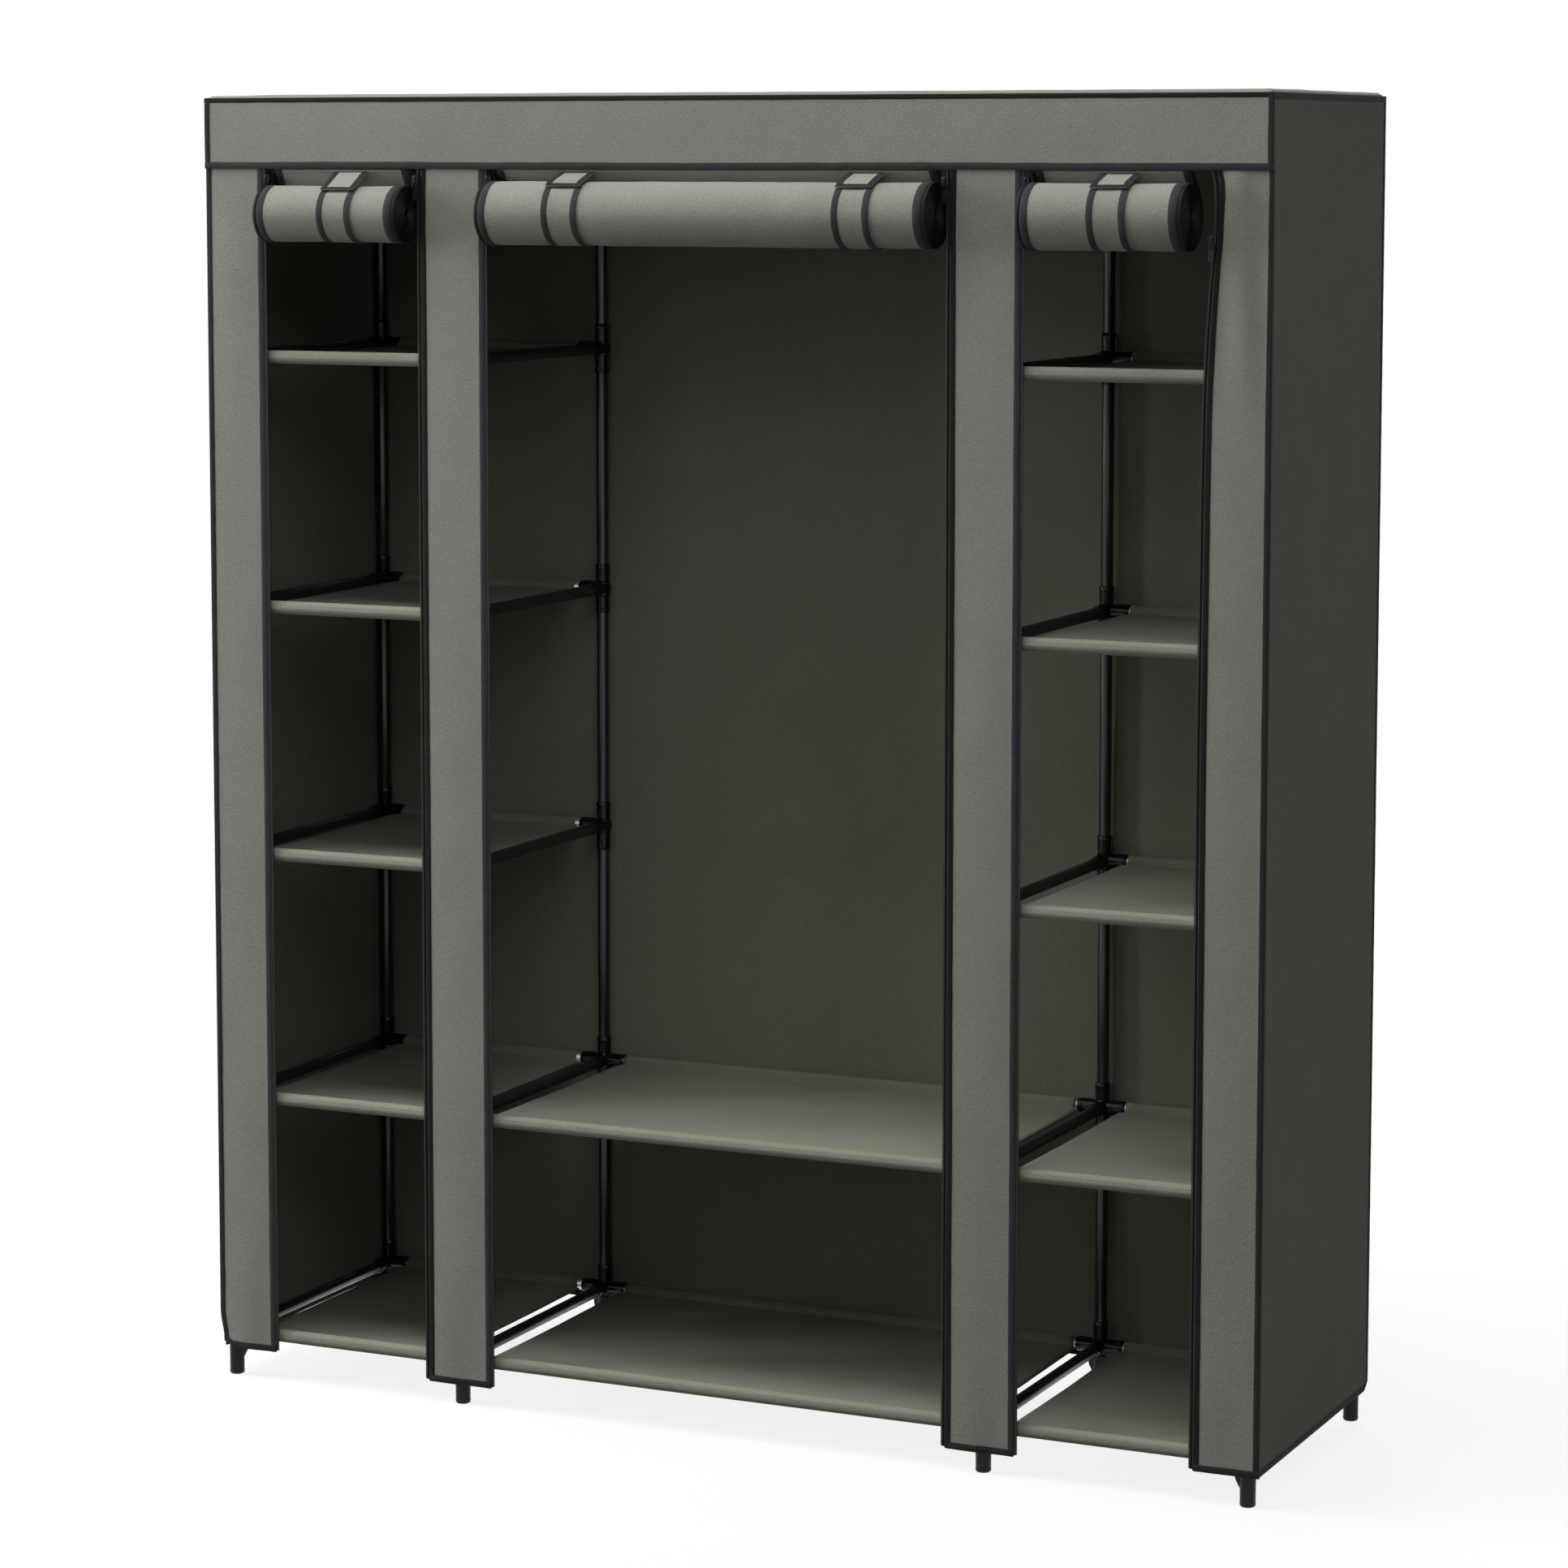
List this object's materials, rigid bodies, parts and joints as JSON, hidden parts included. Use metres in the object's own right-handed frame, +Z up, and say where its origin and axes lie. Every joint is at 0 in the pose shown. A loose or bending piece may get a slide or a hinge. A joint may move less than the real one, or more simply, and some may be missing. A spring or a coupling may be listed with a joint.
{
  "type": "fabric wardrobe",
  "caption": "Free-standing tube-frame wardrobe with cloth shelves, a hanging bay and a bound fabric cover whose front doors are rolled up and strapped.",
  "frame": {"origin": "on the floor, in the middle of the footprint", "axes": "+Z up, the front faces -Y, +X is to the right of a viewer in front"},
  "size_m": [1.5, 0.5066, 1.75],
  "materials": {
    "tube": "black powder-coated steel tube, satin, with glossy black plastic connectors",
    "connector": "black moulded plastic, glossy",
    "cover_cloth": "matt grey-green non-woven cloth with a fine leathery grain and charcoal binding tape",
    "shelf_cloth": "matt grey-green non-woven cloth sewn into sleeves",
    "door_cloth": "matt grey-green non-woven cloth, rolled, with charcoal binding tape",
    "strap": "grey-green cloth strap bound in charcoal tape along both edges",
    "zip_metal": "black lacquered zip slider and pull"
  },
  "bodies": {
    "frame_and_cover": {"base_frame_far_left": "connector", "base_frame_mid_left": "connector", "base_frame_mid_right": "connector", "base_frame_far_right": "connector", "side_frame_far_left": "tube", "side_frame_mid_left": "tube", "side_frame_mid_right": "tube", "side_frame_far_right": "tube", "top_rail_left_front": "tube", "top_rail_left_rear": "tube", "top_rail_middle_front": "tube", "top_rail_middle_rear": "tube", "top_rail_right_front": "tube", "top_rail_right_rear": "tube", "hanging_rod": "tube", "shelf_left_1": "shelf_cloth", "shelf_left_2": "shelf_cloth", "shelf_left_3": "shelf_cloth", "shelf_left_4": "shelf_cloth", "shelf_left_5": "shelf_cloth", "shelf_middle_1": "shelf_cloth", "shelf_middle_2": "shelf_cloth", "shelf_right_1": "shelf_cloth", "shelf_right_2": "shelf_cloth", "shelf_right_3": "shelf_cloth", "shelf_right_4": "shelf_cloth", "shelf_right_5": "shelf_cloth", "cover_top": "cover_cloth", "cover_back": "cover_cloth", "cover_left_side": "cover_cloth", "cover_right_side": "cover_cloth", "cover_header": "cover_cloth", "front_strip_far_left": "cover_cloth", "front_strip_mid_left": "cover_cloth", "front_strip_mid_right": "cover_cloth", "front_strip_far_right": "cover_cloth"},
    "door_left": {"rolled_door_left": "door_cloth", "strap_loop_left": "strap"},
    "door_middle": {"rolled_door_middle": "door_cloth", "strap_loop_middle_left": "strap", "strap_loop_middle_right": "strap"},
    "door_right": {"rolled_door_right": "door_cloth", "strap_loop_right": "strap"},
    "tab_left": {"strap_tab_left": "door_cloth"},
    "tab_middle_left": {"strap_tab_middle_left": "door_cloth"},
    "tab_middle_right": {"strap_tab_middle_right": "door_cloth"},
    "tab_right": {"strap_tab_right": "door_cloth"},
    "slider_left_outer": {"zip_slider_left_outer": "zip_metal"},
    "pull_left_outer": {"zip_pull_left_outer": "zip_metal"},
    "slider_left_inner": {"zip_slider_left_inner": "zip_metal"},
    "pull_left_inner": {"zip_pull_left_inner": "zip_metal"},
    "slider_middle_left": {"zip_slider_middle_left": "zip_metal"},
    "pull_middle_left": {"zip_pull_middle_left": "zip_metal"},
    "slider_middle_right": {"zip_slider_middle_right": "zip_metal"},
    "pull_middle_right": {"zip_pull_middle_right": "zip_metal"},
    "slider_right_inner": {"zip_slider_right_inner": "zip_metal"},
    "pull_right_inner": {"zip_pull_right_inner": "zip_metal"},
    "slider_right_outer": {"zip_slider_right_outer": "zip_metal"},
    "pull_right_outer": {"zip_pull_right_outer": "zip_metal"}
  },
  "joints": [
    {"name": "door_left_lift", "type": "hinge", "parent": "frame_and_cover", "child": "door_left", "pos_m": [-0.5425, -0.19868, 1.652], "axis": [-1, 0, 0], "range_deg": [0, 40]},
    {"name": "door_middle_lift", "type": "hinge", "parent": "frame_and_cover", "child": "door_middle", "pos_m": [0, -0.19868, 1.652], "axis": [-1, 0, 0], "range_deg": [0, 40]},
    {"name": "door_right_lift", "type": "hinge", "parent": "frame_and_cover", "child": "door_right", "pos_m": [0.5425, -0.19868, 1.652], "axis": [-1, 0, 0], "range_deg": [0, 40]},
    {"name": "tab_left_lift", "type": "hinge", "parent": "door_left", "child": "tab_left", "pos_m": [-0.527, -0.20018, 1.6475], "axis": [-1, 0, 0], "range_deg": [0, 55]},
    {"name": "tab_middle_left_lift", "type": "hinge", "parent": "door_middle", "child": "tab_middle_left", "pos_m": [-0.192, -0.20018, 1.6475], "axis": [-1, 0, 0], "range_deg": [0, 55]},
    {"name": "tab_middle_right_lift", "type": "hinge", "parent": "door_middle", "child": "tab_middle_right", "pos_m": [0.215, -0.20018, 1.6475], "axis": [-1, 0, 0], "range_deg": [0, 55]},
    {"name": "tab_right_lift", "type": "hinge", "parent": "door_right", "child": "tab_right", "pos_m": [0.553, -0.20018, 1.6475], "axis": [-1, 0, 0], "range_deg": [0, 55]},
    {"name": "slider_left_outer_run", "type": "slide", "parent": "frame_and_cover", "child": "slider_left_outer", "axis": [0, 0, 1], "range_m": [-1.582, 0]},
    {"name": "pull_left_outer_flip", "type": "hinge", "parent": "slider_left_outer", "child": "pull_left_outer", "pos_m": [-0.65582, -0.20243, 1.63485], "axis": [-1, 0, 0], "range_deg": [0, 150]},
    {"name": "slider_left_inner_run", "type": "slide", "parent": "frame_and_cover", "child": "slider_left_inner", "axis": [0, 0, 1], "range_m": [-1.594, 0]},
    {"name": "pull_left_inner_flip", "type": "hinge", "parent": "slider_left_inner", "child": "pull_left_inner", "pos_m": [-0.42917, -0.20243, 1.63485], "axis": [-1, 0, 0], "range_deg": [0, 150]},
    {"name": "slider_middle_left_run", "type": "slide", "parent": "frame_and_cover", "child": "slider_middle_left", "axis": [0, 0, 1], "range_m": [-1.594, 0]},
    {"name": "pull_middle_left_flip", "type": "hinge", "parent": "slider_middle_left", "child": "pull_middle_left", "pos_m": [-0.32183, -0.20243, 1.63485], "axis": [-1, 0, 0], "range_deg": [0, 150]},
    {"name": "slider_middle_right_run", "type": "slide", "parent": "frame_and_cover", "child": "slider_middle_right", "axis": [0, 0, 1], "range_m": [-1.594, 0]},
    {"name": "pull_middle_right_flip", "type": "hinge", "parent": "slider_middle_right", "child": "pull_middle_right", "pos_m": [0.32183, -0.20243, 1.63485], "axis": [-1, 0, 0], "range_deg": [0, 150]},
    {"name": "slider_right_inner_run", "type": "slide", "parent": "frame_and_cover", "child": "slider_right_inner", "axis": [0, 0, 1], "range_m": [-1.594, 0]},
    {"name": "pull_right_inner_flip", "type": "hinge", "parent": "slider_right_inner", "child": "pull_right_inner", "pos_m": [0.42917, -0.20243, 1.63485], "axis": [-1, 0, 0], "range_deg": [0, 150]},
    {"name": "slider_right_outer_run", "type": "slide", "parent": "frame_and_cover", "child": "slider_right_outer", "axis": [0.0105, 0, 0.9999], "range_m": [-1.512, 0.07]},
    {"name": "pull_right_outer_flip", "type": "hinge", "parent": "slider_right_outer", "child": "pull_right_outer", "pos_m": [0.6719, -0.20243, 1.56485], "axis": [-0.9999, 0, 0.0105], "range_deg": [0, 150]}
  ]
}
